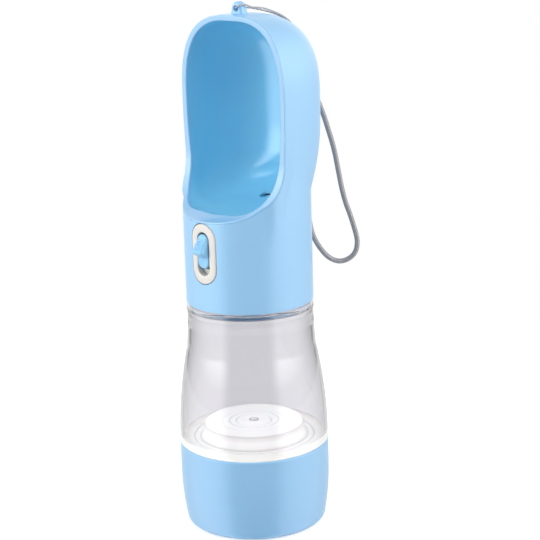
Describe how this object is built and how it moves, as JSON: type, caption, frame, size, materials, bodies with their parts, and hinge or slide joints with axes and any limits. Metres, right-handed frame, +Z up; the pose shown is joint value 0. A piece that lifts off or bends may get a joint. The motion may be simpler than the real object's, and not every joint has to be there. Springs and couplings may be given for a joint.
{
  "type": "pet travel water bottle",
  "caption": "Dog travel water bottle: clear bottle, screw-on food cup below, head with moulded drinking trough, locking press button and a braided wrist loop.",
  "frame": {"origin": "centre of the cup's foot, on the surface the bottle stands on", "axes": "+Z up along the bottle's axis; -Y is the front, where the trough's mouth and the button face; +X to the right as seen from the front"},
  "size_m": [0.08, 0.0969, 0.2786],
  "materials": {
    "cup_blue": "injection moulded, glossy",
    "shell_blue": "injection moulded, glossy",
    "trough_blue": "injection moulded, glossy",
    "button_blue": "injection moulded, satin",
    "cream_plastic": "satin",
    "inner_white": "satin",
    "clear_plastic": "clear, polished",
    "floor_white": "injection moulded, glossy",
    "silicone": "translucent, matte",
    "spring_steel": "drawn wire",
    "grey_cord": "braided polyester",
    "grey_ferrule": "satin"
  },
  "bodies": {
    "cup": {"food_cup": "cup_blue"},
    "cup_ring": {"cup_gasket": "silicone"},
    "bottle": {"bottle_body": "clear_plastic", "bottle_floor": "floor_white"},
    "neck_ring": {"neck_seal": "silicone"},
    "head": {"threaded_collar": "shell_blue", "head_shell": "shell_blue", "trough_liner": "trough_blue", "bezel": "cream_plastic", "slide_guide": "inner_white", "valve_housing": "inner_white", "valve_spring": "spring_steel", "outlet_duct": "silicone", "strap_string": "grey_cord", "strap_ferrule": "grey_ferrule", "strap_loop": "grey_cord"},
    "lock": {"lock_slide": "inner_white", "button_spring": "spring_steel"},
    "button": {"push_button": "button_blue", "plunger": "inner_white"},
    "valve": {"valve_stem": "inner_white", "valve_seal": "silicone", "stem_clip": "inner_white"}
  },
  "joints": [
    {"name": "cup_lift", "type": "slide", "parent": "cup", "child": "cup_ring", "axis": [0, 0, 1], "range_m": [0, 0.005]},
    {"name": "cup_twist", "type": "hinge", "parent": "cup_ring", "child": "bottle", "pos_m": [0, 0, 0.045], "axis": [0, 0, 1], "range_deg": [0, 360]},
    {"name": "head_lift", "type": "slide", "parent": "bottle", "child": "neck_ring", "axis": [0, 0, 1], "range_m": [0, 0.005]},
    {"name": "head_twist", "type": "hinge", "parent": "neck_ring", "child": "head", "pos_m": [0, 0, 0.1228], "axis": [0, 0, 1], "range_deg": [0, 360]},
    {"name": "lock_move", "type": "slide", "parent": "head", "child": "lock", "axis": [0, 0, -1], "range_m": [0, 0.0032]},
    {"name": "button_press", "type": "slide", "parent": "lock", "child": "button", "axis": [0, 1, 0], "range_m": [0, 0.0025], "stiffness_N_per_m": 300, "springref_m": -0.004, "deforming": ["button_spring"]},
    {"name": "valve_open", "type": "slide", "parent": "head", "child": "valve", "axis": [0, 0, -1], "range_m": [0, 0.0025], "stiffness_N_per_m": 200, "springref_m": -0.004, "deforming": ["valve_spring"]}
  ],
  "couplings": [
    {"joint": "cup_lift", "follows": "cup_twist", "m_per_rad": 0.00079},
    {"joint": "head_lift", "follows": "head_twist", "m_per_rad": 0.00079},
    {"joint": "valve_open", "follows": "button_press", "ratio": 1}
  ]
}
